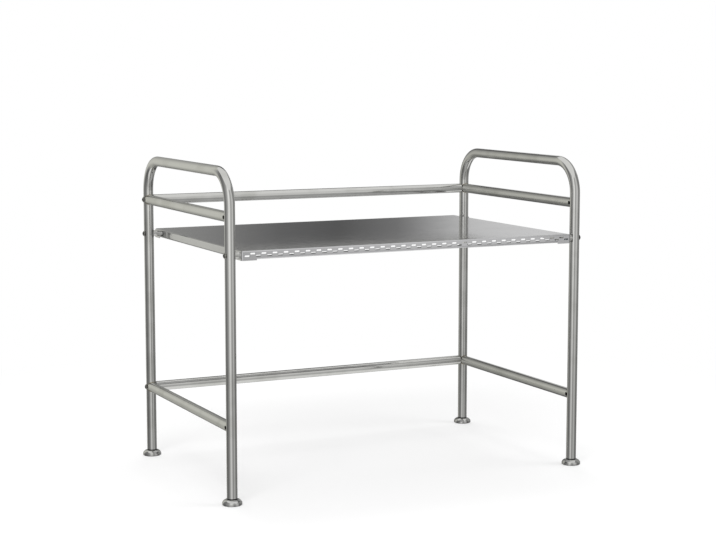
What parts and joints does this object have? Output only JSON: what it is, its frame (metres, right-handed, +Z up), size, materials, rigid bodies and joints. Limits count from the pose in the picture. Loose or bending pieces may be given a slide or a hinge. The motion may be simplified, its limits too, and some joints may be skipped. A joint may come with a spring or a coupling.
{
  "type": "microwave stand",
  "caption": "Two-tier kitchen appliance stand in bent stainless tube, with a folded sheet shelf, side guard rails and screw-in levelling feet.",
  "frame": {"origin": "on the counter top, midway between the four legs", "axes": "+X along the shelf to the right, +Y from the front to the rear, +Z up"},
  "size_m": [0.624, 0.392, 0.501],
  "materials": {
    "polished_tube": "stainless tube, polished lengthwise",
    "shelf_sheet": "stainless sheet, fine satin",
    "bright_fasteners": "stainless screws and spacers, tumbled bright",
    "plated_steel": "zinc-plated steel",
    "foot_chrome": "pressed cap, bright chrome",
    "black_plastic": "moulded black nylon"
  },
  "bodies": {
    "frame": {"left_u_tube": "polished_tube", "left_guard_rail": "polished_tube", "left_lower_rail": "polished_tube", "right_u_tube": "polished_tube", "right_guard_rail": "polished_tube", "right_lower_rail": "polished_tube", "rear_guard_tube": "polished_tube", "rear_lower_tube": "polished_tube", "rear_tube_inserts": "plated_steel", "rear_tube_screws": "bright_fasteners", "shelf_plate": "shelf_sheet", "shelf_stiffeners": "shelf_sheet", "shelf_spacers": "bright_fasteners", "shelf_nuts": "plated_steel", "shelf_screws": "bright_fasteners", "leg_inserts": "black_plastic"},
    "front_left_foot": {"front_left_foot_cap": "foot_chrome", "front_left_foot_core": "black_plastic"},
    "front_left_stud": {"front_left_foot_stud": "plated_steel"},
    "front_right_foot": {"front_right_foot_cap": "foot_chrome", "front_right_foot_core": "black_plastic"},
    "front_right_stud": {"front_right_foot_stud": "plated_steel"},
    "rear_left_foot": {"rear_left_foot_cap": "foot_chrome", "rear_left_foot_core": "black_plastic"},
    "rear_left_stud": {"rear_left_foot_stud": "plated_steel"},
    "rear_right_foot": {"rear_right_foot_cap": "foot_chrome", "rear_right_foot_core": "black_plastic"},
    "rear_right_stud": {"rear_right_foot_stud": "plated_steel"}
  },
  "joints": [
    {"name": "front_left_foot_travel", "type": "slide", "parent": "frame", "child": "front_left_foot", "axis": [0, 0, -1], "range_m": [0, 0.01]},
    {"name": "front_left_stud_turn", "type": "hinge", "parent": "front_left_foot", "child": "front_left_stud", "pos_m": [-0.297, -0.181, 0], "axis": [0, 0, -1], "range_deg": [0, 2880]},
    {"name": "front_right_foot_travel", "type": "slide", "parent": "frame", "child": "front_right_foot", "axis": [0, 0, -1], "range_m": [0, 0.01]},
    {"name": "front_right_stud_turn", "type": "hinge", "parent": "front_right_foot", "child": "front_right_stud", "pos_m": [0.297, -0.181, 0], "axis": [0, 0, -1], "range_deg": [0, 2880]},
    {"name": "rear_left_foot_travel", "type": "slide", "parent": "frame", "child": "rear_left_foot", "axis": [0, 0, -1], "range_m": [0, 0.01]},
    {"name": "rear_left_stud_turn", "type": "hinge", "parent": "rear_left_foot", "child": "rear_left_stud", "pos_m": [-0.297, 0.181, 0], "axis": [0, 0, -1], "range_deg": [0, 2880]},
    {"name": "rear_right_foot_travel", "type": "slide", "parent": "frame", "child": "rear_right_foot", "axis": [0, 0, -1], "range_m": [0, 0.01]},
    {"name": "rear_right_stud_turn", "type": "hinge", "parent": "rear_right_foot", "child": "rear_right_stud", "pos_m": [0.297, 0.181, 0], "axis": [0, 0, -1], "range_deg": [0, 2880]}
  ],
  "couplings": [
    {"joint": "front_left_stud_turn", "follows": "front_left_foot_travel", "rad_per_m": 5026.5},
    {"joint": "front_right_stud_turn", "follows": "front_right_foot_travel", "rad_per_m": 5026.5},
    {"joint": "rear_left_stud_turn", "follows": "rear_left_foot_travel", "rad_per_m": 5026.5},
    {"joint": "rear_right_stud_turn", "follows": "rear_right_foot_travel", "rad_per_m": 5026.5}
  ]
}
